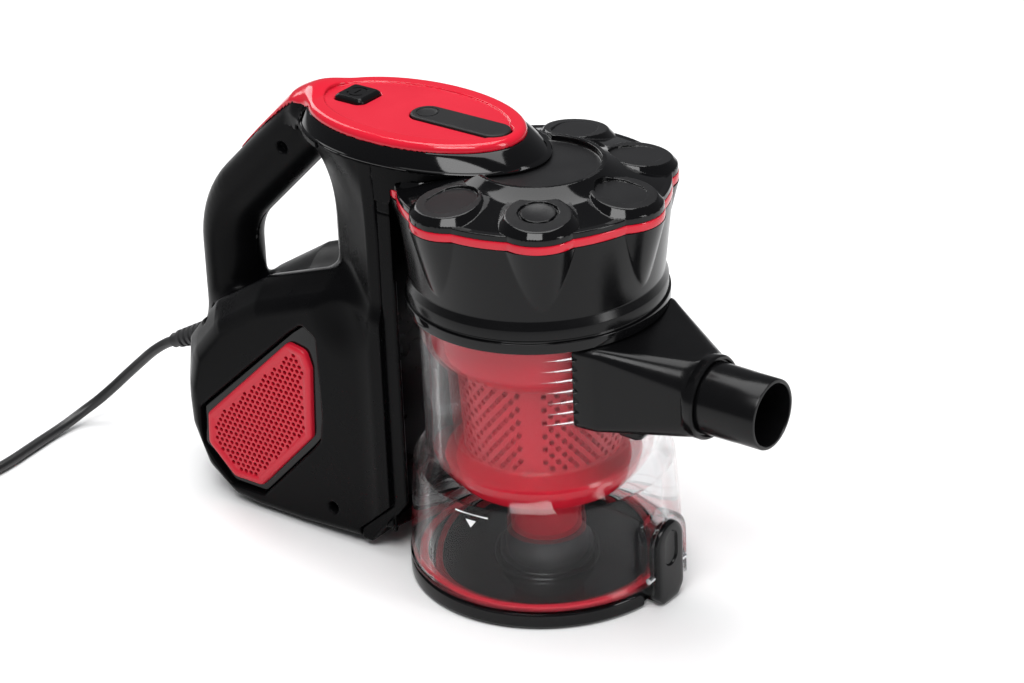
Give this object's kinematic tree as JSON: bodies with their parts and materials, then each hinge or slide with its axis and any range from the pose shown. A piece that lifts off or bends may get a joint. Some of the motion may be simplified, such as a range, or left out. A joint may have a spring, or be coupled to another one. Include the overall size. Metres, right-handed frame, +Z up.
{
  "type": "handheld vacuum",
  "caption": "Corded handheld cyclone vacuum: motor housing with loop handle, clear dust cup with hinged lid and latch, suction nozzle, power cord with plug.",
  "frame": {"origin": "on the dust cup's axis at the underside of its lid, in the plane the object stands on", "axes": "+X along the suction nozzle, +Z up along the dust cup's axis, +Y to the left of the object seen from behind the handle"},
  "size_m": [0.52, 0.2284, 0.2221],
  "materials": {
    "satin_black": "satin, very fine grain",
    "semi_gloss_black": "semi-gloss",
    "gloss_black": "high gloss",
    "matte_black": "matte, fine grain",
    "satin_red": "satin",
    "gloss_red": "gloss",
    "dark_red": "matte",
    "red_rubber": "matte",
    "black_rubber": "matte",
    "cord_rubber": "satin",
    "clear_plastic": "clear, slightly smoked",
    "filter_felt": "felt",
    "zinc_steel": "zinc plated",
    "core_steel": "laminated",
    "bearing_steel": "ground",
    "cast_aluminium": "cast",
    "copper_wire": "enamelled copper",
    "brass": "bright",
    "carbon": "pressed carbon",
    "white_nylon": "natural nylon"
  },
  "bodies": {
    "main_unit": {"housing_right": "satin_black", "housing_left": "satin_black", "front_frame": "satin_black", "intake_grille": "dark_red", "intake_filter": "filter_felt", "outlet_gasket": "black_rubber", "head_band": "satin_black", "top_cover": "satin_red", "vent_bezel_right": "gloss_black", "vent_bezel_left": "gloss_black", "exhaust_grille_right": "satin_red", "exhaust_grille_left": "satin_red", "exhaust_filter_right": "filter_felt", "exhaust_filter_left": "filter_felt", "fan_shroud": "zinc_steel", "motor_front_mount": "black_rubber", "motor_front_bracket": "cast_aluminium", "motor_rear_bracket": "cast_aluminium", "motor_rear_mount": "black_rubber", "stator_core": "core_steel", "field_windings": "copper_wire", "front_bearing": "bearing_steel", "rear_bearing": "bearing_steel", "brush_holders": "brass", "carbon_brushes": "carbon", "power_switch": "matte_black", "power_button_spring": "bearing_steel", "release_button_spring": "bearing_steel", "release_lever_pin": "bearing_steel", "housing_screws": "zinc_steel", "cord_gland": "black_rubber", "power_cord": "cord_rubber", "cord_coil": "cord_rubber", "plug_body": "black_rubber", "plug_pins": "brass"},
    "rotor": {"armature_shaft": "bearing_steel", "armature_core": "core_steel", "commutator": "copper_wire", "impeller": "cast_aluminium"},
    "power_key": {"power_button": "matte_black"},
    "release_key": {"release_button": "matte_black"},
    "catch": {"release_lever": "white_nylon"},
    "dust_cup": {"cup_shell": "clear_plastic", "cup_collar": "gloss_black", "cyclone_head": "gloss_black", "trim_ring": "gloss_red", "cyclone_cover": "gloss_black", "vortex_finders": "matte_black", "cone_gasket": "black_rubber", "cyclone_cones": "matte_black", "shroud": "gloss_red", "dust_tube": "gloss_red", "inlet_duct": "semi_gloss_black", "nozzle_tube": "semi_gloss_black", "latch_pin": "bearing_steel", "latch_spring": "bearing_steel"},
    "lid": {"bin_lid": "gloss_black", "lid_seal": "red_rubber", "fines_collector": "black_rubber"},
    "latch": {"bin_latch": "semi_gloss_black"}
  },
  "joints": [
    {"name": "rotor_spin", "type": "hinge", "parent": "main_unit", "child": "rotor", "pos_m": [-0.14, 0, 0.052], "axis": [1, 0, 0], "continuous": true},
    {"name": "power_press", "type": "slide", "parent": "main_unit", "child": "power_key", "axis": [0, 0, -1], "range_m": [0, 0.002], "stiffness_N_per_m": 600, "springref_m": -0.001, "deforming": ["power_button_spring"]},
    {"name": "release_press", "type": "slide", "parent": "main_unit", "child": "release_key", "axis": [0, 0, -1], "range_m": [0, 0.002], "stiffness_N_per_m": 600, "springref_m": -0.001, "deforming": ["release_button_spring"]},
    {"name": "catch_rock", "type": "hinge", "parent": "main_unit", "child": "catch", "pos_m": [-0.038, 0, 0.2142], "axis": [0, -1, 0], "range_deg": [0, 6]},
    {"name": "cup_pull", "type": "slide", "parent": "main_unit", "child": "dust_cup", "axis": [1, 0, 0], "range_m": [0, 0.09]},
    {"name": "lid_swing", "type": "hinge", "parent": "dust_cup", "child": "lid", "pos_m": [-0.0685, 0, 0.005], "axis": [0, 1, 0], "range_deg": [0, 90]},
    {"name": "latch_tilt", "type": "hinge", "parent": "dust_cup", "child": "latch", "pos_m": [0.0696, 0, 0.017], "axis": [0, -1, 0], "range_deg": [0, 7], "stiffness_Nm_per_rad": 0.6, "springref_deg": -5.73}
  ],
  "couplings": [
    {"joint": "catch_rock", "follows": "release_press", "rad_per_m": 50}
  ]
}
